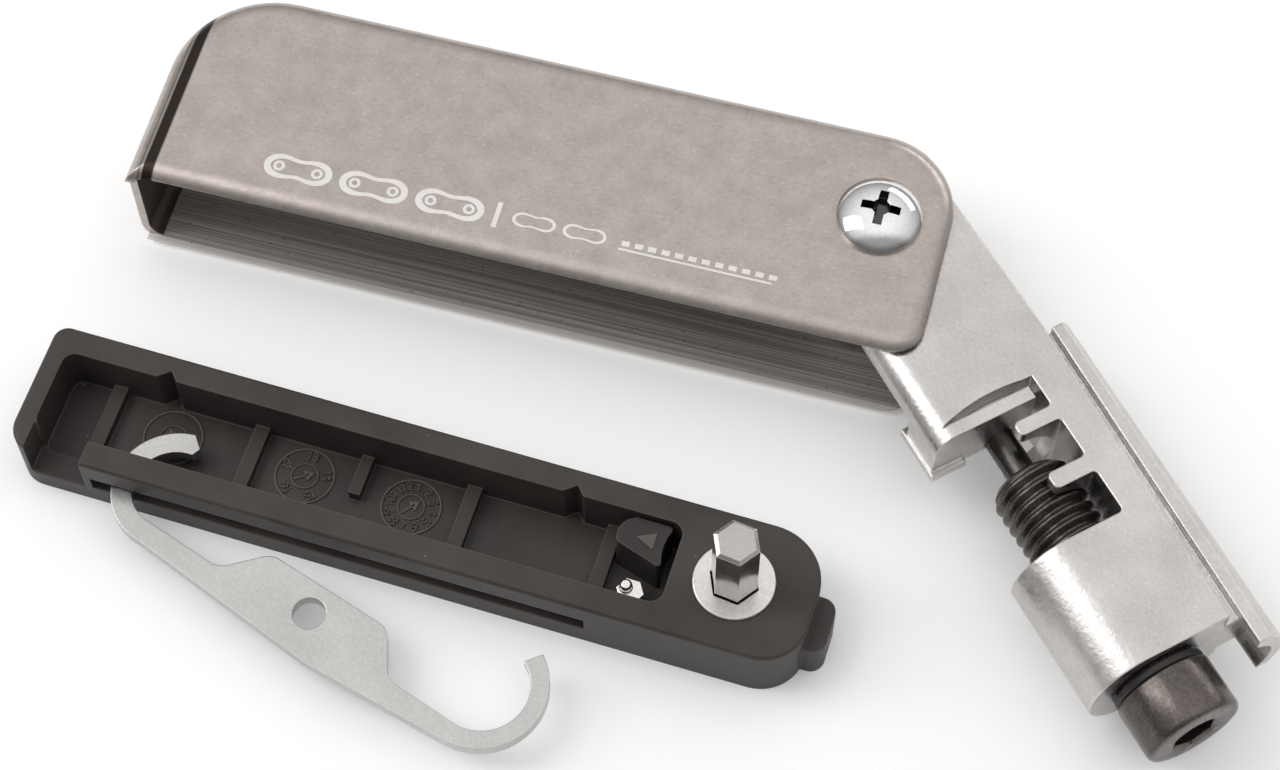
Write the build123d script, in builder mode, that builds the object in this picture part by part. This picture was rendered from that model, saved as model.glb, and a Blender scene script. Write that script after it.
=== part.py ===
from build123d import *
from math import cos, radians, sin
import os

# Folding chain tool with its cover tray and chain hook laid out beside it.
# Millimetres, +Z up. The origin is on the fold axis, on the handle's underside.

# ---- placing of the loose groups on the bench ----
handle_angle = -15.0
breaker_angle = -61.8
tray_angle = -17.3
tray_centre = (-17.94, -44.38)

# ---- handle: one folded sheet ----
sheet = 1.0
handle_height = 17.0
handle_left = -90.3
handle_right = 9.3
handle_front = -18.0
handle_back = 12.8
corner_far_left = 13.0
corner_far_right = 11.0
corner_near_right = 4.5
bend_radius = 3.0
end_wall_setback = 1.7
lip_depth = 1.8

# ---- pivot ----
washer_thickness = 0.5
washer_radius = 7.0
post_radius = 3.5
post_flange_radius = 4.8
post_flange_thickness = 0.6
post_thread_radius = 1.95
screw_head_radius = 5.2
screw_head_height = 2.2
screw_head_rim = 0.5
screw_tip = 6.0
recess_length = 4.8
recess_width = 1.1
fit_gap = 0.06

# ---- breaker ----
breaker_bottom = 1.6
breaker_top = 15.4
screw_axis_height = (breaker_bottom + breaker_top) / 2
half_thickness = (breaker_top - breaker_bottom) / 2
hub_radius = 9.4
plate_thickness = 3.2
plate_left = -9.3
plate_edge_radius = 3.0
spine_left = 5.3
spine_near = 9.6
spine_shoulder = 10.0
spine_far = 8.65
side_floor = 5.25
anvil_start = 23.5
anvil_floor = 7.6
anvil_lip = 0.8
anvil_lip_height = 1.2
strip_start = 27.4
strip_end = 29.1
strip_tip = 4.2
crescent_start = 26.1
crescent_left = -7.6
crescent_floor = 12.5
finger_one = (30.8, 32.7)
finger_two = (38.2, 40.4)
finger_floor = 2.6
slot_corner_radius = 0.6
boss_start = 46.3
boss_end = 63.1
boss_left = -8.8
rail_start = 21.5
rail_end = 67.0
rail_side = 14.6
rail_top = 14.0
rail_floor = 5.0
rail_foot = 12.8
rail_heel = 13.4
rail_wall = 1.5
rail_near = (11.4, 12.9)
rail_far = (10.5, 12.0)
web_floor = 6.5
groove_floor = 12.6
pin_radius = 1.85
pin_start = 26.9
pin_seat = 6.0

# ---- drive screw, M10 x 1.5 ----
thread_radius = 5.0
thread_pitch = 1.5
thread_depth = 0.75
thread_start = 35.0
thread_end = 62.5
thread_chamfer = 1.2
cap_radius = 6.0
cap_start = 64.6
cap_end = 71.4
socket_across_flats = 5.0
socket_depth = 4.0
ring_thickness = 1.1
ring_radius = 5.8

# ---- tray ----
tray_height = 9.0
tray_left = -87.7
tray_right = 9.8
tray_half_width = 8.5
rim_left = 2.4
tray_corner_far = 7.0
tray_corner_near = 5.5
cavity_half_width = 5.25
cavity_right = -7.4
tray_floor = 1.8
rib_top = 3.4
rib_thickness = 1.8
rib_places = (-79.1, -60.7, -33.6, -16.0)
half_rib_place = -47.2
notch_places = (-72.4, -21.2)
near_wall_start = -78.2
ledge_top = 3.0
slot_left = -77.3
slot_right = -15.6
slot_floor = 3.3
slot_roof = 5.7
bit_across_flats = 5.0
bit_height = 11.0
disc_radius = 4.9
disc_proud = 0.3
disc_seat = 1.5
bit_foot = 2.0
bit_turn = -6.0
snap_half_width = 3.5
snap_middle = -1.0
snap_top = 6.0
snap_reach = 2.3
pin_cap_top = 8.2
spare_place = (-12.3, -2.6)
spare_radius = 0.75
spare_top = 5.8
collar_place = (-11.7, -2.9)
collar_across_flats = 2.9
collar_top = 4.9

# ---- chain hook ----
hook_floor = 3.7
hook_thickness = 1.6
hook_place = (-67.6, -5.9)
hook_angle = -17.3
hook_hole_radius = 2.0
hook_shoulder_radius = 2.5


def bench(angle, centre=(0, 0)):
    """The level plane of a group whose own x runs at an angle on the table."""
    return Plane(
        origin=(centre[0], centre[1], 0),
        x_dir=(cos(radians(angle)), sin(radians(angle)), 0),
        z_dir=(0, 0, 1),
    )


def square_to(plane, distance):
    """The plane square to a bench's x at a distance: its x is across, its y is up."""
    origin = plane.from_local_coords((distance, 0, 0))
    return Plane(origin=origin, x_dir=plane.y_dir, z_dir=plane.x_dir)


def middles(edges, plane):
    """Each edge with its middle in a bench's own coordinates."""
    return [(edge, plane.to_local_coords(edge @ 0.5)) for edge in edges]


handle_bench = bench(handle_angle)
breaker_bench = bench(breaker_angle)
tray_bench = bench(tray_angle, tray_centre)
screw_bench = breaker_bench.offset(screw_axis_height)


# ======================= handle =======================

def sheet_outline(inset, front, right):
    """Plan of the folded sheet, with its big far left corner."""
    left = handle_left + inset
    back = handle_back - inset
    arc = corner_far_left - inset
    with BuildSketch() as outline:
        with BuildLine():
            Line((left, front), (left, back - arc))
            RadiusArc((left, back - arc), (left + arc, back), arc)
            Line((left + arc, back), (right, back))
            Line((right, back), (right, front))
            Line((right, front), (left, front))
        make_face()
    return outline.sketch


def bent_edges(edges, inset):
    """The edges of the two plates that run into the bend."""
    back = handle_back - inset
    left = handle_left + inset
    return [
        edge
        for edge, middle in middles(edges, handle_bench)
        if middle.X < 0 and (middle.Y > back - 0.2 or middle.X < left + 4.5)
    ]


outer_outline = sheet_outline(0, handle_front, handle_right)
inner_outline = sheet_outline(sheet, handle_front - 5, handle_right + 20)

with BuildPart() as hollow:
    with BuildSketch(handle_bench.offset(sheet)):
        add(inner_outline)
    extrude(amount=handle_height - 2 * sheet)
    level = edges().filter_by_position(Axis.Z, sheet - 0.01, sheet + 0.01)
    level += edges().filter_by_position(
        Axis.Z, handle_height - sheet - 0.01, handle_height - sheet + 0.01
    )
    fillet(bent_edges(level, sheet), radius=bend_radius - sheet)

with BuildPart() as handle_shell:
    with BuildSketch(handle_bench):
        add(outer_outline)
        fillet(vertices().group_by(Axis.X)[-1].sort_by(Axis.Y)[-1], radius=corner_far_right)
        fillet(vertices().group_by(Axis.Y)[0].sort_by(Axis.X)[-1], radius=corner_near_right)
    extrude(amount=handle_height)
    level = edges().filter_by_position(Axis.Z, -0.01, 0.01)
    level += edges().filter_by_position(Axis.Z, handle_height - 0.01, handle_height + 0.01)
    fillet(bent_edges(level, 0), radius=bend_radius)
    add(hollow.part, mode=Mode.SUBTRACT)
    # The end wall stands back from the lip that the upper plate makes over it.
    with BuildSketch(handle_bench.offset(sheet)):
        with Locations((handle_left, handle_front)):
            Rectangle(8, 2 * end_wall_setback)
    extrude(amount=handle_height - sheet - lip_depth, mode=Mode.SUBTRACT)
    with BuildSketch(handle_bench.offset(-1)):
        Circle(post_radius + fit_gap)
    extrude(amount=handle_height / 2, mode=Mode.SUBTRACT)
    with BuildSketch(handle_bench):
        Circle(post_flange_radius + fit_gap)
    extrude(amount=post_flange_thickness, mode=Mode.SUBTRACT)
    with BuildSketch(handle_bench.offset(handle_height / 2)):
        Circle(post_thread_radius + fit_gap)
    extrude(amount=handle_height, mode=Mode.SUBTRACT)

with BuildPart() as pivot_post:
    with BuildSketch(handle_bench):
        Circle(post_flange_radius)
    extrude(amount=post_flange_thickness)
    with BuildSketch(handle_bench.offset(post_flange_thickness)):
        Circle(post_radius)
    extrude(amount=handle_height - sheet - post_flange_thickness)
    with BuildSketch(handle_bench.offset(screw_tip - 0.5)):
        Circle(post_thread_radius + fit_gap)
    extrude(amount=handle_height, mode=Mode.SUBTRACT)

head_top = handle_height + screw_head_height
head_rim = handle_height + screw_head_rim

with BuildPart() as pivot_screw:
    with BuildSketch(Plane.XZ):
        with BuildLine():
            Polyline(
                (0, head_top),
                (0, screw_tip),
                (post_thread_radius, screw_tip),
                (post_thread_radius, handle_height),
                (screw_head_radius, handle_height),
                (screw_head_radius, head_rim),
            )
            ThreePointArc(
                (screw_head_radius, head_rim),
                (0.66 * screw_head_radius, head_rim + 0.6 * screw_head_height),
                (0, head_top),
            )
        make_face()
    revolve(axis=Axis.Z)
    with BuildSketch(handle_bench.offset(head_rim)):
        Rectangle(recess_length, recess_width)
        Rectangle(recess_width, recess_length)
        Circle(recess_width)
    extrude(amount=screw_head_height, mode=Mode.SUBTRACT)


def washer(height):
    """A plain ring between the breaker and one plate."""
    with BuildPart() as ring:
        with BuildSketch(handle_bench.offset(height)):
            Circle(washer_radius)
            Circle(post_radius + fit_gap, mode=Mode.SUBTRACT)
        extrude(amount=washer_thickness)
    return ring


washer_lower = washer(sheet)
washer_upper = washer(handle_height - sheet - washer_thickness)


# ======================= breaker =======================

bevel = side_floor - finger_floor
boss_middle = boss_left + half_thickness

with BuildPart() as breaker_body:
    # spine along the right side, bevelled underneath
    with BuildSketch(breaker_bench.offset(finger_floor)):
        with BuildLine():
            Polyline(
                (0, spine_left),
                (boss_end, spine_left),
                (boss_end, spine_far),
                (rail_start, spine_shoulder),
                (0, spine_near),
                close=True,
            )
        make_face()
    extrude(amount=breaker_top - finger_floor)
    underside = edges().filter_by_position(Axis.Z, finger_floor - 0.01, finger_floor + 0.01)
    chamfer([e for e, m in middles(underside, breaker_bench) if m.Y > spine_far], length=bevel)
    # hub
    with BuildSketch(breaker_bench.offset(breaker_bottom)):
        Circle(hub_radius)
    extrude(amount=breaker_top - breaker_bottom)
    # upper plate, from the hub to the anvil strip
    with BuildSketch(breaker_bench.offset(breaker_top - plate_thickness)):
        with Locations((strip_end / 2, (plate_left + spine_near) / 2)):
            Rectangle(strip_end, spine_near - plate_left)
    extrude(amount=plate_thickness)
    # anvil block under the strip, with the lip along its lower edges
    with BuildSketch(breaker_bench.offset(anvil_floor)):
        with Locations(((anvil_start + strip_end) / 2, (plate_left + spine_left) / 2)):
            Rectangle(strip_end - anvil_start, spine_left - plate_left)
    extrude(amount=breaker_top - anvil_floor)
    with BuildSketch(breaker_bench.offset(anvil_floor)):
        with Locations(((anvil_start + strip_end) / 2, (plate_left + strip_tip) / 2 - anvil_lip)):
            Rectangle(strip_end - anvil_start + 2 * anvil_lip, strip_tip - plate_left - anvil_lip)
    extrude(amount=anvil_lip_height)
    top_edges = edges().filter_by_position(Axis.Z, breaker_top - 0.01, breaker_top + 0.01)
    left_edge = [e for e, m in middles(top_edges, breaker_bench) if m.Y < plate_left + 0.1]
    fillet(left_edge, radius=plate_edge_radius)
    # fingers between the chain slots
    for start, end in (finger_one, finger_two):
        with BuildSketch(breaker_bench.offset(finger_floor)):
            with Locations(((start + end) / 2, (spine_left + 0.4) / 2)):
                Rectangle(end - start, spine_left + 0.4)
            fillet(vertices().group_by(Axis.Y)[0], radius=0.7)
        extrude(amount=breaker_top - finger_floor)
    # boss that carries the thread
    with BuildSketch(square_to(breaker_bench, boss_start)):
        with BuildLine():
            Polyline(
                (boss_middle, breaker_top),
                (spine_far, breaker_top),
                (spine_far, side_floor),
                (spine_far - side_floor + breaker_bottom, breaker_bottom),
                (boss_middle, breaker_bottom),
            )
            ThreePointArc(
                (boss_middle, breaker_bottom), (boss_left, screw_axis_height), (boss_middle, breaker_top)
            )
        make_face()
    extrude(amount=boss_end - boss_start)
    # web under the groove, and the rail that runs on past the boss
    with BuildSketch(square_to(breaker_bench, rail_start)):
        with Locations(((spine_far + rail_foot) / 2, (web_floor + groove_floor) / 2)):
            Rectangle(rail_foot - spine_far + 0.4, groove_floor - web_floor)
    extrude(amount=boss_end - rail_start)
    for distance, (inner, crest) in ((rail_start, rail_near), (rail_end, rail_far)):
        with BuildSketch(square_to(breaker_bench, distance)):
            with BuildLine():
                Line((inner, rail_top), (crest, rail_top))
                ThreePointArc((crest, rail_top), (rail_side, screw_axis_height + 1), (rail_heel, rail_floor))
                Line((rail_heel, rail_floor), (rail_heel - rail_wall, rail_floor))
                ThreePointArc(
                    (rail_heel - rail_wall, rail_floor),
                    (rail_side - rail_wall, screw_axis_height + 0.8),
                    (inner, rail_top - rail_wall),
                )
                Line((inner, rail_top - rail_wall), (inner, rail_top))
            make_face()
    loft()
    upright = edges().filter_by(Axis.Z)
    corners = [e for e, m in middles(upright, breaker_bench) if abs(m.Y - spine_left) < 0.05 and m.X > 30]
    fillet(corners, radius=slot_corner_radius)
    # crescent behind the strip, and the gap round the strip's tip
    with BuildSketch(breaker_bench.offset(crescent_floor)):
        with BuildLine():
            ThreePointArc(
                (strip_start, crescent_left), (crescent_start, crescent_left / 6), (crescent_start + 0.3, strip_tip)
            )
            Polyline(
                (crescent_start + 0.3, strip_tip),
                (crescent_start + 0.3, spine_left),
                (strip_start, spine_left),
                (strip_start, crescent_left),
            )
        make_face()
    extrude(amount=breaker_top, mode=Mode.SUBTRACT)
    with BuildSketch(breaker_bench):
        with Locations(((strip_start + strip_end) / 2 + 0.5, (strip_tip + spine_left) / 2)):
            Rectangle(strip_end - strip_start + 1, spine_left - strip_tip)
    extrude(amount=2 * breaker_top, mode=Mode.SUBTRACT)
    # bores: fold axis, drive screw, breaker pin
    with BuildSketch(breaker_bench):
        Circle(post_radius + fit_gap)
    extrude(amount=2 * breaker_top, mode=Mode.SUBTRACT)
    with BuildSketch(square_to(screw_bench, strip_end)):
        Circle(thread_radius + fit_gap)
    extrude(amount=boss_end, mode=Mode.SUBTRACT)
    with BuildSketch(square_to(screw_bench, boss_end - 0.8)):
        Circle(thread_radius + fit_gap)
    extrude(amount=0.9, taper=-40, mode=Mode.SUBTRACT)
    with BuildSketch(square_to(screw_bench, strip_start - 3)):
        Circle(pin_radius + fit_gap)
    extrude(amount=6, mode=Mode.SUBTRACT)

screw_axis = Axis(origin=screw_bench.origin, direction=screw_bench.x_dir)
screw_section = Plane(origin=screw_bench.origin, x_dir=screw_bench.x_dir, z_dir=-screw_bench.y_dir)
root = thread_radius - thread_depth
turns = int((thread_end - thread_start - thread_chamfer) / thread_pitch)

with BuildPart() as drive_screw:
    profile = [(thread_start, 0), (thread_start, thread_radius - thread_chamfer)]
    for turn in range(turns):
        place = thread_start + thread_chamfer + turn * thread_pitch
        profile.append((place, thread_radius))
        profile.append((place + 0.15 * thread_pitch, thread_radius))
        profile.append((place + 0.5 * thread_pitch, root))
        profile.append((place + 0.65 * thread_pitch, root))
    profile.append((thread_end, thread_radius))
    profile.append((cap_start, thread_radius))
    profile.append((cap_start, cap_radius))
    profile.append((cap_end, cap_radius))
    profile.append((cap_end, 0))
    with BuildSketch(screw_section):
        with BuildLine():
            Polyline(*profile, close=True)
        make_face()
    revolve(axis=screw_axis)
    fillet(edges().filter_by(GeomType.CIRCLE).sort_by(screw_axis)[-1], radius=0.7)
    with BuildSketch(square_to(screw_bench, cap_end - socket_depth)):
        RegularPolygon(socket_across_flats / 2, 6, major_radius=False)
    extrude(amount=socket_depth, mode=Mode.SUBTRACT)
    with BuildSketch(square_to(screw_bench, thread_start)):
        Circle(pin_radius + fit_gap)
    extrude(amount=pin_seat, mode=Mode.SUBTRACT)

with BuildPart() as breaker_pin:
    with BuildSketch(square_to(screw_bench, pin_start)):
        Circle(pin_radius)
    extrude(amount=thread_start + pin_seat - 0.2 - pin_start)
    chamfer(edges().filter_by(GeomType.CIRCLE).sort_by(screw_axis)[0], length=0.3)

with BuildPart() as head_ring:
    with BuildSketch(square_to(screw_bench, cap_start - ring_thickness)):
        Circle(ring_radius)
        Circle(thread_radius + fit_gap, mode=Mode.SUBTRACT)
    extrude(amount=ring_thickness - fit_gap)
    fillet(edges().filter_by(GeomType.CIRCLE).group_by(SortBy.RADIUS)[-1], radius=0.3)


# ======================= tray =======================

cavity_left = tray_left + rim_left
cavity_middle = (cavity_right + cavity_left) / 2
tray_middle = (tray_left + tray_right) / 2
wall = tray_half_width - cavity_half_width

with BuildPart() as tray:
    with BuildSketch(tray_bench):
        with Locations((tray_middle, 0)):
            Rectangle(tray_right - tray_left, 2 * tray_half_width)
        fillet(vertices().group_by(Axis.X)[-1].sort_by(Axis.Y)[-1], radius=tray_corner_far)
        fillet(vertices().group_by(Axis.Y)[0].sort_by(Axis.X)[-1], radius=tray_corner_near)
        fillet(vertices().group_by(Axis.X)[0].sort_by(Axis.Y)[0], radius=3.5)
        fillet(vertices().group_by(Axis.X)[0].sort_by(Axis.Y)[-1], radius=1.8)
    extrude(amount=tray_height)
    fillet(edges().group_by(Axis.Z)[-1], radius=0.5)
    with BuildSketch(tray_bench.offset(tray_floor)):
        with Locations((cavity_middle, 0)):
            RectangleRounded(cavity_right - cavity_left, 2 * cavity_half_width, 1.6)
        for place in notch_places:
            with Locations((place, cavity_half_width)):
                Polygon((-1.9, -0.5), (0.2, 1.2), (1.7, -0.5), align=None)
    extrude(amount=tray_height, mode=Mode.SUBTRACT)
    # ribs that carry the hook
    with BuildSketch(tray_bench.offset(tray_floor)):
        for place in rib_places:
            with Locations((place, 0)):
                Rectangle(rib_thickness, 2 * cavity_half_width)
        with Locations((half_rib_place, cavity_half_width / 2)):
            Rectangle(rib_thickness - 0.3, cavity_half_width)
    extrude(amount=rib_top - tray_floor)
    # low ledge in place of the near wall at the left end
    with BuildSketch(tray_bench.offset(ledge_top)):
        with Locations(((cavity_left + near_wall_start) / 2, -tray_half_width)):
            Rectangle(near_wall_start - cavity_left, 2 * wall + 1)
    extrude(amount=tray_height, mode=Mode.SUBTRACT)
    # slot that the hook slides through
    with BuildSketch(tray_bench.offset(slot_floor)):
        with Locations(((slot_left + slot_right) / 2, -tray_half_width)):
            Rectangle(slot_right - slot_left, 2 * wall + 0.5)
    extrude(amount=slot_roof - slot_floor, mode=Mode.SUBTRACT)
    # snap lip on the right end
    with BuildSketch(tray_bench):
        with Locations((tray_right, snap_middle)):
            Rectangle(2 * snap_reach, 2 * snap_half_width)
        fillet(vertices().group_by(Axis.X)[-1], radius=1.8)
    extrude(amount=snap_top)
    # seat of the bit and its disc
    with BuildSketch(tray_bench.offset(tray_height - disc_seat)):
        Circle(disc_radius + fit_gap)
    extrude(amount=tray_height, mode=Mode.SUBTRACT)
    with BuildSketch(tray_bench.offset(bit_foot)):
        RegularPolygon(bit_across_flats / 2 + fit_gap, 6, major_radius=False, rotation=bit_turn)
    extrude(amount=tray_height, mode=Mode.SUBTRACT)

with BuildPart() as hex_bit:
    with BuildSketch(tray_bench.offset(bit_foot)):
        RegularPolygon(bit_across_flats / 2, 6, major_radius=False, rotation=bit_turn)
    extrude(amount=tray_height + bit_height - bit_foot)
    chamfer(edges().group_by(Axis.Z)[-1], length=0.3, length2=0.45)

with BuildPart() as bit_disc:
    with BuildSketch(tray_bench.offset(tray_height - disc_seat)):
        Circle(disc_radius)
        RegularPolygon(
            bit_across_flats / 2 + 0.15, 6, major_radius=False, rotation=bit_turn, mode=Mode.SUBTRACT
        )
    extrude(amount=disc_seat + disc_proud)
    chamfer(edges().filter_by(GeomType.CIRCLE).sort_by(Axis.Z)[-1], length=0.15)

with BuildPart() as pin_cap:
    with BuildSketch(tray_bench.offset(tray_floor)):
        with BuildLine():
            ThreePointArc((-13.2, 4.9), (-14.9, 3.0), (-14.6, 1.3))
            Line((-14.6, 1.3), (-8.6, -0.6))
            ThreePointArc((-8.6, -0.6), (-9.2, 2.2), (-8.6, 4.9))
            Line((-8.6, 4.9), (-13.2, 4.9))
        make_face()
        fillet(vertices().sort_by(Axis.X)[-2:], radius=0.4)
    extrude(amount=pin_cap_top - tray_floor)

with BuildPart() as spare_pin:
    with BuildSketch(tray_bench.offset(tray_floor)):
        with Locations(spare_place):
            Circle(spare_radius)
    extrude(amount=spare_top - tray_floor)
    chamfer(edges().filter_by(GeomType.CIRCLE).sort_by(Axis.Z)[-1], length=0.25)

with BuildPart() as pin_collar:
    with BuildSketch(tray_bench.offset(tray_floor)):
        with Locations(collar_place):
            RegularPolygon(collar_across_flats / 2, 6, major_radius=False)
        with Locations(spare_place):
            Circle(spare_radius + fit_gap, mode=Mode.SUBTRACT)
    extrude(amount=collar_top - tray_floor)


# ======================= chain hook =======================

hook_origin = tray_bench.from_local_coords((hook_place[0], hook_place[1], 0))
hook_bench = bench(tray_angle + hook_angle, (hook_origin.X, hook_origin.Y))

with BuildPart() as chain_hook:
    with BuildSketch(hook_bench.offset(hook_floor)):
        with BuildLine():
            # left hook, from its throat round to the outer edge
            ThreePointArc((0.2, -5.6), (-4.5, -0.6), (-0.6, 4.2))
            Polyline((-0.6, 4.2), (-0.3, 5.3), (-1.9, 6.5))
            ThreePointArc((-1.9, 6.5), (-6.95, -1.0), (1.4, -8.2))
            Polyline((1.4, -8.2), (26.9, -9.4), (45.6, -8.0))
            # right hook, from the outer edge round to its throat
            ThreePointArc((45.6, -8.0), (53.05, 0.0), (48.9, 7.05))
            Line((48.9, 7.05), (47.6, 5.1))
            ThreePointArc((47.6, 5.1), (50.9, 0.4), (45.8, -5.6))
            # raised middle
            FilletPolyline(
                (45.8, -5.6),
                (35.9, -5.6),
                (32.2, -0.5),
                (15.3, -0.7),
                (11.2, -5.6),
                (0.2, -5.6),
                radius=hook_shoulder_radius,
            )
        make_face()
        with Locations((23.5, -4.2)):
            Circle(hook_hole_radius, mode=Mode.SUBTRACT)
    extrude(amount=hook_thickness)


pieces = {
    "handle_shell": handle_shell,
    "pivot_screw": pivot_screw,
    "pivot_post": pivot_post,
    "washer_upper": washer_upper,
    "washer_lower": washer_lower,
    "breaker_body": breaker_body,
    "breaker_pin": breaker_pin,
    "drive_screw": drive_screw,
    "head_ring": head_ring,
    "tray": tray,
    "hex_bit": hex_bit,
    "bit_disc": bit_disc,
    "pin_cap": pin_cap,
    "spare_pin": spare_pin,
    "pin_collar": pin_collar,
    "chain_hook": chain_hook,
}

os.makedirs("parts", exist_ok=True)
for name, piece in pieces.items():
    piece.part.label = name
    export_step(piece.part, f"parts/{name}.step")
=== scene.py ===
import math

import bmesh
import bpy
from mathutils import Matrix, Vector


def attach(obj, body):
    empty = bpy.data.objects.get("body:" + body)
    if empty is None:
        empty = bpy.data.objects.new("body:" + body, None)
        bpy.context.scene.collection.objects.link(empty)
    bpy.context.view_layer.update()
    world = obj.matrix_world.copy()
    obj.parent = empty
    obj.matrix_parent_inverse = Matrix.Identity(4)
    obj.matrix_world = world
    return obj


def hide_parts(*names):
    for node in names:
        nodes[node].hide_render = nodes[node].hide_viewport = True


MM = 0.001
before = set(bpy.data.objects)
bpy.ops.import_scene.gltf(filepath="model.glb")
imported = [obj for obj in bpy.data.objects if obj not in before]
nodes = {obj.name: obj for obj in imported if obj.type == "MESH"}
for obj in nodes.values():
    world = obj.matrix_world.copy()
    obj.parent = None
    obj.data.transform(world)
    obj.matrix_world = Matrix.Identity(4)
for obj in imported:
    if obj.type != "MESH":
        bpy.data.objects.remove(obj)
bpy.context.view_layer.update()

# Groups of the part: the direction of each one's own x on the table, and its origin.
HANDLE_ANGLE = math.radians(-15.0)
BREAKER_ANGLE = math.radians(-61.8)
TRAY_ANGLE = math.radians(-17.3)
HOOK_ANGLE = math.radians(-34.6)
TRAY_ORIGIN = (-17.94 * MM, -44.38 * MM)


def group(angle, origin=(0.0, 0.0), height=0.0):
    """The matrix from a group's own millimetres to the row frame."""
    place = Matrix.Translation((origin[0], origin[1], height))
    return place @ Matrix.Rotation(angle, 4, "Z") @ Matrix.Scale(MM, 4)


HANDLE = group(HANDLE_ANGLE)
BREAKER = group(BREAKER_ANGLE)
TRAY = group(TRAY_ANGLE, TRAY_ORIGIN)


# ---------------------------------------------------------------- materials

class Graph:
    """A short way to write a material's nodes."""

    def __init__(self, name):
        self.material = bpy.data.materials.new(name)
        self.material.use_nodes = True
        self.tree = self.material.node_tree
        self.tree.nodes.clear()
        self.out = self.node("ShaderNodeOutputMaterial")
        self.shader = self.node("ShaderNodeBsdfPrincipled")
        self.link(self.shader.outputs[0], self.out.inputs[0])
        self.coordinates = self.node("ShaderNodeTexCoord").outputs["Object"]

    def node(self, kind, **values):
        made = self.tree.nodes.new(kind)
        for key, value in values.items():
            setattr(made, key, value)
        return made

    def link(self, a, b):
        self.tree.links.new(a, b)

    def feed(self, socket, value):
        if isinstance(value, bpy.types.NodeSocket):
            self.link(value, socket)
        else:
            socket.default_value = value

    def turned(self, angle, stretch=(1, 1, 1), origin=(0, 0, 0)):
        """Coordinates along a group's own axes, stretched."""
        moved = self.node("ShaderNodeVectorMath", operation="SUBTRACT")
        self.link(self.coordinates, moved.inputs[0])
        moved.inputs[1].default_value = origin
        turn = self.node("ShaderNodeVectorRotate", rotation_type="Z_AXIS")
        self.link(moved.outputs[0], turn.inputs["Vector"])
        turn.inputs["Angle"].default_value = -angle
        scaled = self.node("ShaderNodeVectorMath", operation="MULTIPLY")
        self.link(turn.outputs[0], scaled.inputs[0])
        scaled.inputs[1].default_value = stretch
        return scaled.outputs[0]

    def noise(self, vector, scale, detail=3.0, rough=0.55):
        made = self.node("ShaderNodeTexNoise")
        self.link(vector, made.inputs["Vector"])
        made.inputs["Scale"].default_value = scale
        made.inputs["Detail"].default_value = detail
        made.inputs["Roughness"].default_value = rough
        return made.outputs[0]

    def span(self, value, low, high, to_low=0.0, to_high=1.0):
        """Maps a stretch of values onto another, held at both ends."""
        made = self.node("ShaderNodeMapRange", clamp=True)
        self.feed(made.inputs["Value"], value)
        made.inputs["From Min"].default_value = low
        made.inputs["From Max"].default_value = high
        made.inputs["To Min"].default_value = to_low
        made.inputs["To Max"].default_value = to_high
        return made.outputs[0]

    def math(self, operation, a, b=0.0):
        made = self.node("ShaderNodeMath", operation=operation)
        self.feed(made.inputs[0], a)
        self.feed(made.inputs[1], b)
        return made.outputs[0]

    def mix(self, factor, a, b):
        made = self.node("ShaderNodeMix", data_type="RGBA")
        self.feed(made.inputs[0], factor)
        for socket, value in ((made.inputs[6], a), (made.inputs[7], b)):
            if isinstance(value, tuple):
                value = (*value[:3], 1.0)
            self.feed(socket, value)
        return made.outputs[2]

    def bump(self, height, strength, distance, normal=None):
        made = self.node("ShaderNodeBump")
        made.inputs["Strength"].default_value = strength
        made.inputs["Distance"].default_value = distance
        self.feed(made.inputs["Height"], height)
        if normal is not None:
            self.link(normal, made.inputs["Normal"])
        return made.outputs[0]

    def rounded(self, radius):
        made = self.node("ShaderNodeBevel", samples=6)
        made.inputs["Radius"].default_value = radius
        return made.outputs[0]

    def edges(self, radius):
        """1 along sharp edges, 0 on flat faces."""
        soft = self.rounded(radius)
        plain = self.node("ShaderNodeNewGeometry").outputs["Normal"]
        dot = self.node("ShaderNodeVectorMath", operation="DOT_PRODUCT")
        self.link(soft, dot.inputs[0])
        self.link(plain, dot.inputs[1])
        return self.span(dot.outputs["Value"], 0.995, 0.9, 0.0, 1.0)

    def axis(self, vector, name):
        made = self.node("ShaderNodeSeparateXYZ")
        self.link(vector, made.inputs[0])
        return made.outputs[name]


def metal(
    name,
    dark,
    light,
    roughness,
    angle,
    streak=None,
    grain=None,
    edge=0.12,
    cloud=60.0,
    metallic=1.0,
):
    """Metal with clouded tone, a streaked or grainy finish and edges made lighter, partly wear and
    partly a painted highlight.
    """
    g = Graph(name)
    own = g.turned(angle)
    tone = g.noise(own, cloud, 4.0)
    fine = g.noise(own, 2600.0, 2.0)
    both = g.math("ADD", g.math("MULTIPLY", tone, 0.62), g.math("MULTIPLY", fine, 0.38))
    colour = g.mix(g.span(both, 0.36, 0.64), dark, light)
    normal = g.rounded(edge * MM)
    rough = g.span(g.noise(own, 900.0, 2.0), 0.3, 0.7, roughness[0], roughness[1])
    if streak:
        along, across, depth = streak
        lines = g.noise(g.turned(angle, (along, across, across)), 1.0, 3.0, 0.65)
        normal = g.bump(lines, depth, 0.05 * MM, normal)
        colour = g.mix(g.span(lines, 0.35, 0.7, 0.0, 0.35), colour, dark)
    if grain:
        scale, depth = grain
        bumps = g.noise(own, scale, 2.0, 0.5)
        normal = g.bump(bumps, depth, 0.12 * MM, normal)
    # Lighter along sharp edges: partly edge wear, partly a painted highlight where edges catch the
    # light.
    edge_wear_and_highlight = g.edges(edge * MM)
    bright = tuple(min(1.0, c * 1.35) for c in light)
    colour = g.mix(g.math("MULTIPLY", edge_wear_and_highlight, 0.7), colour, bright)
    g.feed(g.shader.inputs["Base Color"], colour)
    g.shader.inputs["Metallic"].default_value = metallic
    g.feed(g.shader.inputs["Roughness"], rough)
    g.feed(g.shader.inputs["Normal"], normal)
    return g


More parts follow.
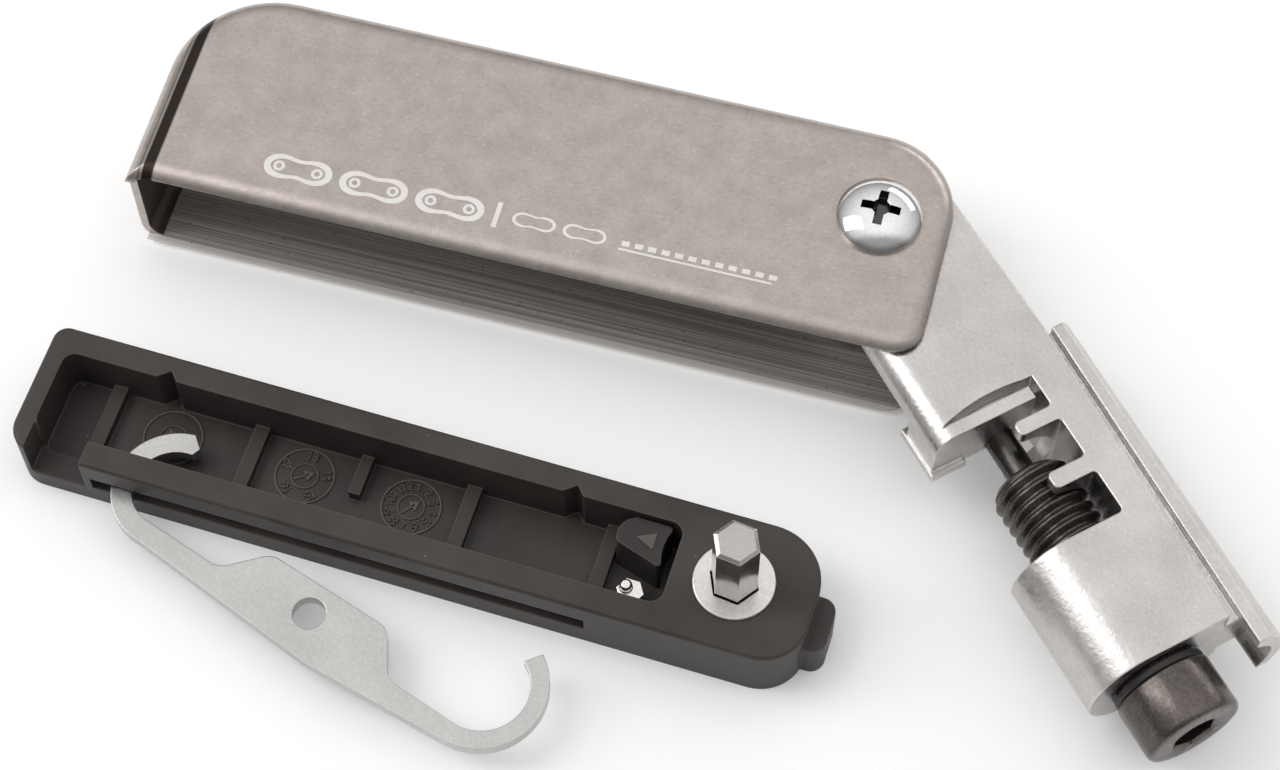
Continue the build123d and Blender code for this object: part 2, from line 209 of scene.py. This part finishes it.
def nylon(name, dark, light, angle):
    """Moulded nylon: satin, finely textured, with a little dust."""
    g = Graph(name)
    own = g.turned(angle)
    tone = g.noise(own, 90.0, 4.0)
    colour = g.mix(g.span(tone, 0.35, 0.65), dark, light)
    texture = g.noise(own, 2400.0, 2.0)
    # Lighter along the edges: partly wear, partly a painted highlight on the rims.
    edge_wear_and_highlight = g.edges(0.3 * MM)
    colour = g.mix(g.math("MULTIPLY", edge_wear_and_highlight, 0.45), colour, (0.17, 0.155, 0.145))
    dust = g.node("ShaderNodeTexVoronoi")
    g.link(own, dust.inputs["Vector"])
    dust.inputs["Scale"].default_value = 260.0
    speck = g.span(dust.outputs["Distance"], 0.035, 0.02)
    colour = g.mix(g.math("MULTIPLY", speck, 0.5), colour, (0.35, 0.33, 0.31))
    normal = g.bump(texture, 0.28, 0.06 * MM, g.rounded(0.3 * MM))
    g.feed(g.shader.inputs["Base Color"], colour)
    g.feed(g.shader.inputs["Roughness"], g.span(tone, 0.3, 0.7, 0.40, 0.54))
    g.shader.inputs["Specular IOR Level"].default_value = 0.36
    g.feed(g.shader.inputs["Normal"], normal)
    return g


def assign(piece, graph):
    """Gives a piece one material in place of its own."""
    piece.data.materials.clear()
    piece.data.materials.append(graph.material)


# Places on the folded sheet, in the handle's millimetres.
SHEET_INSIDE = 1.05
SHEET_UPPER = 13.0
OPEN_EDGE = -16.3
# Painted reflection of the fold: the edges of a dark band and of a thin dark line beside it.
FOLD_DARK_REFLECTION = (-86.5, -86.75, -87.9, -88.15)
FOLD_REFLECTION_LINE = (-88.1, -88.3, -88.45, -88.65)


def case_steel():
    """The tumbled satin sheet, with a painted dark reflection of the fold beside the end lip."""
    g = metal(
        "case_steel_satin",
        (0.40, 0.355, 0.325),
        (0.50, 0.450, 0.418),
        (0.27, 0.36),
        HANDLE_ANGLE,
        streak=(900.0, 3600.0, 0.07),
        edge=0.24,
        cloud=300.0,
    )
    own = g.turned(HANDLE_ANGLE)
    x = g.axis(own, "X")
    z = g.axis(own, "Z")
    # Inside the channel, rolling lines run along the sheet; their lighter base tone and the lower
    # metallic value below are painted light that lifts the channel's shade.
    lines = g.noise(g.turned(HANDLE_ANGLE, (14.0, 3800.0, 3800.0)), 1.0, 2.0, 0.6)
    inside = g.math("LESS_THAN", z, SHEET_INSIDE * MM)
    # Painted highlight: a light strip inside the channel along the lower plate's open edge.
    open_edge_highlight = g.math("LESS_THAN", g.axis(own, "Y"), OPEN_EDGE * MM)
    colour = g.shader.inputs["Base Color"].links[0].from_socket
    flecks = g.noise(g.turned(HANDLE_ANGLE, (1500.0, 2600.0, 2600.0)), 1.0, 1.0, 0.4)
    colour = g.mix(g.span(flecks, 0.64, 0.74, 0.0, 0.28), colour, (0.66, 0.62, 0.59))
    colour = g.mix(g.span(flecks, 0.36, 0.28, 0.0, 0.30), colour, (0.28, 0.25, 0.23))
    lines_over_painted_light = g.mix(g.span(lines, 0.40, 0.6, 0.0, 0.75), (0.60, 0.57, 0.54), (0.24, 0.22, 0.20))
    colour = g.mix(inside, colour, lines_over_painted_light)
    colour = g.mix(g.math("MULTIPLY", inside, open_edge_highlight), colour, (0.80, 0.77, 0.74))
    g.feed(g.shader.inputs["Metallic"], g.span(inside, 0.0, 1.0, 1.0, 0.25))
    # Painted reflection of the fold at the far end of the upper plate, beside the lip: a dark band
    # and a thin dark line.
    upper = g.math("GREATER_THAN", z, SHEET_UPPER * MM)
    right, near_right, near_left, left = (edge * MM for edge in FOLD_DARK_REFLECTION)
    band = g.math("MULTIPLY", g.span(x, right, near_right), g.span(x, left, near_left))
    right, near_right, near_left, left = (edge * MM for edge in FOLD_REFLECTION_LINE)
    fold_reflection_line = g.math("MULTIPLY", g.span(x, right, near_right), g.span(x, left, near_left))
    # Paints the dark reflection band, then the thinner reflection line.
    colour = g.mix(g.math("MULTIPLY", band, upper), colour, (0.035, 0.028, 0.024))
    fold_reflection_line = g.math("MULTIPLY", g.math("MULTIPLY", fold_reflection_line, upper), 0.6)
    colour = g.mix(fold_reflection_line, colour, (0.09, 0.08, 0.07))
    g.feed(g.shader.inputs["Base Color"], colour)
    return g


def helical_screw():
    """The drive screw as one turned solid: true thread, head and hexagon socket."""
    steps = 96
    pitch, crest, root = 1.5, 5.0, 4.2
    start, end = 35.0, 62.4
    head_start, head_end = 64.6, 71.4
    bore_floor, bore_radius = 41.0, 1.91
    socket_floor, socket_tip = 67.5, 66.9
    flats = 2.5

    def hexagon(angle):
        return flats / math.cos((angle + math.pi / 6) % (math.pi / 3) - math.pi / 6)

    def thread(x, angle):
        phase = (x / pitch - angle / (2 * math.pi)) % 1.0
        rise = abs(phase - 0.5) * 2.0
        share = min(1.0, max(0.0, (rise - 0.14) / 0.70))
        radius = root + (crest - root) * share
        radius = min(radius, 3.75 + (x - start) * 1.05)
        if x > end - 1.5:
            blend = (x - end + 1.5) / 1.5
            radius = radius * (1 - blend) + crest * blend
        return radius

    stations = [
        (bore_floor, lambda a: bore_radius),
        (start + 0.1, lambda a: bore_radius),
        (start, lambda a: 2.05),
        (start, lambda a: 3.6),
    ]
    count = int((end - start) / 0.1)
    for i in range(1, count + 1):
        x = start + (end - start) * i / count
        stations.append((x, lambda a, x=x: thread(x, a)))
    for x, radius in (
        (head_start, 5.0),
        (head_start, 5.75),
        (head_start + 0.1, 5.93),
        (head_start + 0.3, 6.0),
        (head_end - 0.75, 6.0),
        (head_end - 0.4, 5.93),
        (head_end - 0.13, 5.72),
        (head_end - 0.02, 5.4),
        (head_end, 5.1),
        (head_end, 3.1),
    ):
        stations.append((x, lambda a, radius=radius: radius))
    stations.append((head_end - 0.25, lambda a: hexagon(a)))
    stations.append((head_end - 0.3, lambda a: hexagon(a)))
    stations.append((socket_floor, lambda a: hexagon(a)))
    stations.append((socket_floor - 0.2, lambda a: 0.9 * flats))
    mesh = bmesh.new()
    rings = []
    for x, radius in stations:
        ring = []
        for i in range(steps):
            a = 2 * math.pi * i / steps
            r = radius(a)
            ring.append(mesh.verts.new((x, r * math.cos(a), r * math.sin(a))))
        rings.append(ring)
    for a, b in zip(rings, rings[1:]):
        for i in range(steps):
            j = (i + 1) % steps
            mesh.faces.new((a[i], a[j], b[j], b[i]))
    for ring, x in ((rings[0], bore_floor), (rings[-1], socket_tip)):
        tip = mesh.verts.new((x, 0.0, 0.0))
        for i in range(steps):
            mesh.faces.new((ring[i], ring[(i + 1) % steps], tip))
    return mesh


def piece(name, mesh, matrix, body, slot, graph, smooth=True, sharp=32.0):
    """Makes an object of a bmesh in a group's millimetres, and says what it rides on."""
    bmesh.ops.recalc_face_normals(mesh, faces=mesh.faces)
    data = bpy.data.meshes.new(name)
    mesh.to_mesh(data)
    mesh.free()
    data.transform(matrix)
    made = bpy.data.objects.new(name, data)
    bpy.context.scene.collection.objects.link(made)
    if smooth:
        data.polygons.foreach_set("use_smooth", [True] * len(data.polygons))
        data.set_sharp_from_angle(angle=math.radians(sharp))
    assign(made, graph)
    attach(made, body)
    return made


# ---- materials of the CAD nodes ----
case = case_steel()
chrome = metal(
    "screw_chrome_polished",
    (0.74, 0.73, 0.72),
    (0.90, 0.89, 0.88),
    (0.05, 0.10),
    HANDLE_ANGLE,
    edge=0.12,
)


# The screw head, in millimetres from the fold axis and from the handle's underside.
RECESS_INNER, RECESS_OUTER, RECESS_FLOOR = 2.6, 2.9, 17.7
DOME_FOOT, DOME_EDGE = 4.6, 5.1


def recessed(g):
    """Paints shade into the cross recess and a dark reflection round the foot of the dome."""
    own = g.turned(HANDLE_ANGLE)
    x, y, z = (g.axis(own, name) for name in "XYZ")
    radius = g.math("SQRT", g.math("ADD", g.math("MULTIPLY", x, x), g.math("MULTIPLY", y, y)))
    normal = g.axis(g.node("ShaderNodeNewGeometry").outputs["Normal"], "Z")
    within = g.span(radius, RECESS_OUTER * MM, RECESS_INNER * MM)
    steep = g.math("MULTIPLY", within, g.math("LESS_THAN", normal, 0.5))
    low = g.math("MULTIPLY", within, g.math("LESS_THAN", z, RECESS_FLOOR * MM))
    pit = g.math("MAXIMUM", steep, low)
    rim = g.span(radius, DOME_FOOT * MM, DOME_EDGE * MM)
    colour = g.shader.inputs["Base Color"].links[0].from_socket
    # Painted reflection: a dark ring round the dome's foot; then painted shade in the cross recess.
    colour = g.mix(g.math("MULTIPLY", rim, 0.5), colour, (0.10, 0.09, 0.08))
    colour = g.mix(g.math("MULTIPLY", pit, 0.92), colour, (0.025, 0.022, 0.020))
    g.feed(g.shader.inputs["Base Color"], colour)


recessed(chrome)
post = metal(
    "post_steel_turned",
    (0.36, 0.35, 0.33),
    (0.50, 0.49, 0.47),
    (0.3, 0.42),
    HANDLE_ANGLE,
    streak=(900.0, 900.0, 0.1),
)
washer = metal(
    "washer_steel_plain", (0.40, 0.38, 0.35), (0.55, 0.53, 0.50), (0.28, 0.4), HANDLE_ANGLE
)
nickel = metal(
    "breaker_nickel_cast",
    (0.50, 0.480, 0.465),
    (0.64, 0.620, 0.605),
    (0.26, 0.40),
    BREAKER_ANGLE,
    grain=(1500.0, 0.36),
    edge=0.35,
    cloud=110.0,
)
pin = metal(
    "pin_steel_hard",
    (0.045, 0.042, 0.040),
    (0.10, 0.095, 0.09),
    (0.22, 0.34),
    BREAKER_ANGLE,
    streak=(300.0, 3000.0, 0.1),
)
oxide = metal(
    "drive_screw_black_oxide",
    (0.060, 0.051, 0.047),
    (0.155, 0.135, 0.126),
    (0.20, 0.34),
    BREAKER_ANGLE,
    grain=(2200.0, 0.18),
    edge=0.14,
    metallic=0.85,
)
polished = metal(
    "bit_nickel_polished",
    (0.44, 0.42, 0.405),
    (0.56, 0.54, 0.525),
    (0.10, 0.18),
    TRAY_ANGLE,
    streak=(2600.0, 2600.0, 0.06),
    edge=0.15,
)
disc = metal(
    "disc_steel_satin",
    (0.60, 0.585, 0.56),
    (0.78, 0.765, 0.745),
    (0.25, 0.4),
    TRAY_ANGLE,
    grain=(1900.0, 0.2),
)
spare = metal(
    "spare_steel_bright",
    (0.70, 0.68, 0.66),
    (0.86, 0.85, 0.84),
    (0.15, 0.28),
    TRAY_ANGLE,
)
hook = metal(
    "hook_steel_satin",
    (0.46, 0.45, 0.44),
    (0.60, 0.59, 0.58),
    (0.28, 0.38),
    HOOK_ANGLE,
    streak=(900.0, 3800.0, 0.12),
    edge=0.18,
)
tray_nylon = nylon("tray_nylon_black", (0.031, 0.0260, 0.0235), (0.053, 0.0455, 0.0415), TRAY_ANGLE)
cap_nylon = nylon("cap_nylon_black", (0.022, 0.019, 0.017), (0.040, 0.034, 0.031), TRAY_ANGLE)


def rubber():
    """Smooth black rubber with a mottled tone."""
    g = Graph("ring_rubber_black")
    own = g.turned(BREAKER_ANGLE)
    tone = g.noise(own, 700.0, 3.0)
    g.feed(g.shader.inputs["Base Color"], g.mix(tone, (0.010, 0.009, 0.008), (0.028, 0.025, 0.023)))
    g.feed(g.shader.inputs["Roughness"], g.span(tone, 0.3, 0.7, 0.35, 0.6))
    g.feed(g.shader.inputs["Normal"], g.bump(tone, 0.2, 0.05 * MM))
    return g


LOOKS = {
    "handle_shell": case,
    "pivot_screw": chrome,
    "pivot_post": post,
    "washer_upper": washer,
    "washer_lower": washer,
    "breaker_body": nickel,
    "breaker_pin": pin,
    "head_ring": rubber(),
    "tray": tray_nylon,
    "hex_bit": polished,
    "bit_disc": disc,
    "pin_cap": cap_nylon,
    "spare_pin": spare,
    "pin_collar": spare,
    "chain_hook": hook,
}
for node, graph in LOOKS.items():
    assign(nodes[node], graph)

screw = piece(
    "drive_screw_turned",
    helical_screw(),
    BREAKER @ Matrix.Translation((0, 0, 8.5)),
    "screw",
    "black_oxide",
    oxide,
)
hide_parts("drive_screw")


# ---------------------------------------------------------------- small detail

def plaque(mesh, corners, bottom, top):
    """An upright prism over a closed outline."""
    low = [mesh.verts.new((x, y, bottom)) for x, y in corners]
    high = [mesh.verts.new((x, y, top)) for x, y in corners]
    mesh.faces.new(high)
    mesh.faces.new(low[::-1])
    for i in range(len(low)):
        j = (i + 1) % len(low)
        mesh.faces.new((low[i], low[j], high[j], high[i]))


def band(mesh, outer, inner, bottom, top):
    """An upright ring between two outlines of as many corners."""
    count = len(outer)
    levels = []
    for z in (bottom, top):
        for outline in (outer, inner):
            levels.append([mesh.verts.new((x, y, z)) for x, y in outline])
    low_out, low_in, high_out, high_in = levels
    for i in range(count):
        j = (i + 1) % count
        mesh.faces.new((high_out[i], high_out[j], high_in[j], high_in[i]))
        mesh.faces.new((low_out[j], low_out[i], low_in[i], low_in[j]))
        mesh.faces.new((low_out[i], low_out[j], high_out[j], high_out[i]))
        mesh.faces.new((low_in[j], low_in[i], high_in[i], high_in[j]))


def circle(centre, radius, count=40):
    """The corners of a round outline."""
    return [
        (
            centre[0] + radius * math.cos(2 * math.pi * i / count),
            centre[1] + radius * math.sin(2 * math.pi * i / count),
        )
        for i in range(count)
    ]


def link_outline(centre, half_length, half_height, count=64):
    """A chain link's plate: a figure of eight with a soft waist."""
    outline = []
    for i in range(count):
        a = 2 * math.pi * i / count
        waist = 1.0 - 0.30 * math.exp(-((math.cos(a) / 0.42) ** 2))
        outline.append(
            (
                centre[0] + half_length * math.cos(a),
                centre[1] + half_height * math.sin(a) * waist * (1 + 0.12 * math.cos(2 * a)),
            )
        )
    return outline


def block(mesh, left, right, near, far, bottom, top):
    """An upright box between four sides."""
    plaque(mesh, [(left, near), (right, near), (right, far), (left, far)], bottom, top)


def etched_mark():
    """A row of plain chain links with a rule and a bar, etched in the upper plate."""
    mesh = bmesh.new()
    bottom, top = 16.99, 17.012
    row, half_length, half_height, wall = -11.75, 4.3, 2.3, 0.85
    for x in (-69.6, -60.0, -50.4):
        outer = link_outline((x, row), half_length, half_height)
        inner = link_outline((x, row), half_length - wall, half_height - wall)
        band(mesh, outer, inner, bottom, top)
        for side in (-1, 1):
            hole = (x + side * 0.56 * half_length, row)
            band(mesh, circle(hole, 0.72), circle(hole, 0.34), bottom, top)
    block(mesh, -44.8, -44.2, -13.4, -9.8, bottom, top)
    for x in (-39.9, -33.6):
        centre = (x, -11.5)
        outer = link_outline(centre, 2.7, 1.35)
        band(mesh, outer, link_outline(centre, 2.3, 0.95), bottom, top)
    block(mesh, -29.2, -10.4, -12.55, -12.25, bottom, top)
    for i in range(12):
        x = -29.0 + 1.65 * i
        block(mesh, x, x + 1.0, -11.9, -11.2, bottom, top)
    g = metal(
        "etched_mark_matte",
        (0.72, 0.69, 0.67),
        (0.80, 0.78, 0.76),
        (0.5, 0.62),
        HANDLE_ANGLE,
        edge=0.05,
    )
    return piece("etched_link_mark", mesh, HANDLE, "handle", "case_steel", g, smooth=False)


# Each figure's strokes, as runs of points in a box 0.6 wide and 1 high.
STROKES = {
    "0": [((0, 0), (0, 1), (0.6, 1), (0.6, 0), (0, 0))],
    "1": [((0.1, 0.75), (0.4, 1), (0.4, 0))],
    "2": [((0, 1), (0.6, 1), (0.6, 0.5), (0, 0), (0.6, 0))],
    "3": [((0, 1), (0.6, 1), (0.6, 0)), ((0, 0), (0.6, 0)), ((0.15, 0.5), (0.6, 0.5))],
    "4": [((0.45, 0), (0.45, 1), (0, 0.35), (0.65, 0.35))],
    "5": [((0.6, 1), (0, 1), (0, 0.55), (0.6, 0.5), (0.6, 0), (0, 0))],
    "6": [((0.6, 1), (0, 0.5), (0, 0), (0.6, 0), (0.6, 0.5), (0, 0.5))],
    "7": [((0, 1), (0.6, 1), (0.2, 0))],
    "8": [((0, 0), (0, 1), (0.6, 1), (0.6, 0), (0, 0)), ((0, 0.5), (0.6, 0.5))],
    "9": [((0.6, 0.5), (0, 0.5), (0, 1), (0.6, 1), (0.6, 0.5), (0.2, 0))],
}


def bar(mesh, start, end, width, bottom, top):
    """A straight raised stroke between two points."""
    along = Vector(end) - Vector(start)
    side = Vector((-along.y, along.x)).normalized() * (width / 2)
    reach = along.normalized() * (width / 2)
    a, b = Vector(start) - reach, Vector(end) + reach
    corners = [tuple(b + side), tuple(b - side), tuple(a - side), tuple(a + side)]
    plaque(mesh, corners, bottom, top)


def figures(mesh, text, centre, angle, height, bottom, top):
    """Upright digits round a dial, each standing on the dial's centre."""
    wide = 0.78 * height
    turn = Matrix.Rotation(angle, 2)
    for i, letter in enumerate(text):
        shift = (i - (len(text) - 1) / 2) * wide - 0.3 * height
        for run in STROKES[letter]:
            ends = []
            for x, y in run:
                spot = turn @ Vector((shift + x * height, (y - 0.5) * height))
                ends.append((centre[0] + spot.x, centre[1] + spot.y))
            for start, end in zip(ends, ends[1:]):
                bar(mesh, start, end, 0.13 * height, bottom, top)


def dial(name, centre, radius, texts, arrow, graph):
    """A moulded date dial in the tray's floor: two rings, figures and an arrow."""
    mesh = bmesh.new()
    bottom, top = 1.75, 1.98
    band(mesh, circle(centre, radius), circle(centre, radius - 0.22), bottom, top)
    band(mesh, circle(centre, 0.46 * radius), circle(centre, 0.46 * radius - 0.16), bottom, top)
    for i, text in enumerate(texts):
        a = math.pi / 2 - 2 * math.pi * i / len(texts)
        spot = (centre[0] + 0.74 * radius * math.cos(a), centre[1] + 0.74 * radius * math.sin(a))
        figures(mesh, text, spot, a - math.pi / 2, 0.27 * radius, bottom, top)
    tip = Vector((math.cos(arrow), math.sin(arrow))) * 0.36 * radius
    tail = -tip
    side = Vector((-tip.y, tip.x))
    foot = (centre[0] + tail.x, centre[1] + tail.y)
    neck = (centre[0] + 0.3 * tip.x, centre[1] + 0.3 * tip.y)
    bar(mesh, foot, neck, 0.2, bottom, top)
    head = [
        (centre[0] + tip.x, centre[1] + tip.y),
        (centre[0] + 0.1 * tip.x + 0.55 * side.x, centre[1] + 0.1 * tip.y + 0.55 * side.y),
        (centre[0] + 0.1 * tip.x - 0.55 * side.x, centre[1] + 0.1 * tip.y - 0.55 * side.y),
    ]
    plaque(mesh, head, bottom, top)
    return piece(name, mesh, TRAY, "cover", "tray_nylon", graph, smooth=False)


raised = nylon("dial_nylon_worn", (0.075, 0.068, 0.063), (0.12, 0.11, 0.102), TRAY_ANGLE)
etched_mark()
dial("tray_dial_left", (-71.0, 1.2), 3.7, [], 2.2, raised)
dial("tray_dial_years", (-54.0, 1.1), 3.7, ["13", "14", "15", "16", "17"], 0.6, raised)
dial("tray_dial_months", (-40.4, 1.0), 3.7, [str(n) for n in range(1, 13)], 0.9, raised)


def cap_triangle():
    """The pointer moulded on the pin's cap."""
    mesh = bmesh.new()
    plaque(mesh, [(-12.6, 2.5), (-10.3, 1.4), (-10.3, 3.6)], 8.15, 8.32)
    return piece("cap_pointer", mesh, TRAY, "cover", "cap_nylon", raised, smooth=False)


cap_triangle()


# ---------------------------------------------------------------- stage

def floor():
    """A plain white table that runs past every side of the picture."""
    mesh = bmesh.new()
    bmesh.ops.create_grid(mesh, x_segments=8, y_segments=8, size=3.0)
    data = bpy.data.meshes.new("floor")
    mesh.to_mesh(data)
    mesh.free()
    made = bpy.data.objects.new("floor", data)
    bpy.context.scene.collection.objects.link(made)
    g = Graph("floor_white")
    tone = g.noise(g.coordinates, 3.0, 2.0)
    g.feed(g.shader.inputs["Base Color"], g.mix(tone, (0.90, 0.90, 0.90), (0.93, 0.93, 0.93)))
    g.shader.inputs["Roughness"].default_value = 0.75
    g.feed(g.shader.inputs["Emission Color"], (1.0, 1.0, 1.0, 1.0))
    g.feed(g.shader.inputs["Emission Strength"], 0.13)
    made.data.materials.append(g.material)
    return made


floor()


def softbox(name, place, size, power):
    """A rectangular lamp aimed at the origin."""
    lamp = bpy.data.lights.new(name, "AREA")
    lamp.shape = "RECTANGLE"
    lamp.size, lamp.size_y = size
    lamp.energy = power
    made = bpy.data.objects.new(name, lamp)
    bpy.context.scene.collection.objects.link(made)
    made.location = place
    direction = -Vector(place)
    made.rotation_euler = direction.to_track_quat("-Z", "Y").to_euler()
    return made


softbox("light_key", (-0.75, 0.10, 0.70), (0.45, 0.8), 3.4)
softbox("light_rim", (0.55, 0.75, 0.35), (0.7, 0.25), 1.2)


# The tent's brightness at each height, from level to straight up.
TENT = ((0.0, 0.30), (0.22, 0.34), (0.42, 0.62), (0.66, 1.02), (1.0, 1.16))


def studio():
    """A white tent: bright overhead, darker low down, with a grey wall on the near side."""
    world = bpy.data.worlds.new("studio")
    bpy.context.scene.world = world
    world.use_nodes = True
    tree = world.node_tree
    back = tree.nodes["Background"]
    direction = tree.nodes.new("ShaderNodeTexCoord").outputs["Generated"]
    split = tree.nodes.new("ShaderNodeSeparateXYZ")
    tree.links.new(direction, split.inputs[0])
    height = tree.nodes.new("ShaderNodeValToRGB")
    tree.links.new(split.outputs["Z"], height.inputs[0])
    ramp = height.color_ramp
    for place, level in TENT:
        if place in (0.0, 1.0):
            stop = ramp.elements[int(place)]
        else:
            stop = ramp.elements.new(place)
        stop.position = place
        stop.color = (level, level * 0.997, level * 0.992, 1.0)
    near = tree.nodes.new("ShaderNodeMapRange")
    tree.links.new(split.outputs["Y"], near.inputs["Value"])
    near.interpolation_type = "SMOOTHSTEP"
    near.inputs["From Min"].default_value = -0.22
    near.inputs["From Max"].default_value = -0.62
    near.inputs["To Min"].default_value = 1.0
    near.inputs["To Max"].default_value = 0.42
    tree.links.new(height.outputs[0], back.inputs["Color"])
    tree.links.new(near.outputs[0], back.inputs["Strength"])


studio()

camera = bpy.data.cameras.new("camera")
camera.sensor_width = 36.0
camera.lens = 36.0 * 2900.0 / 1280.0
camera.clip_start = 0.01
eye = bpy.data.objects.new("camera", camera)
bpy.context.scene.collection.objects.link(eye)
eye.location = (-28.8 * MM, -181.5 * MM, 315.3 * MM)
eye.rotation_euler = (math.radians(28.0), 0.0, 0.0)
bpy.context.scene.camera = eye
bpy.context.scene.view_settings.view_transform = "Standard"
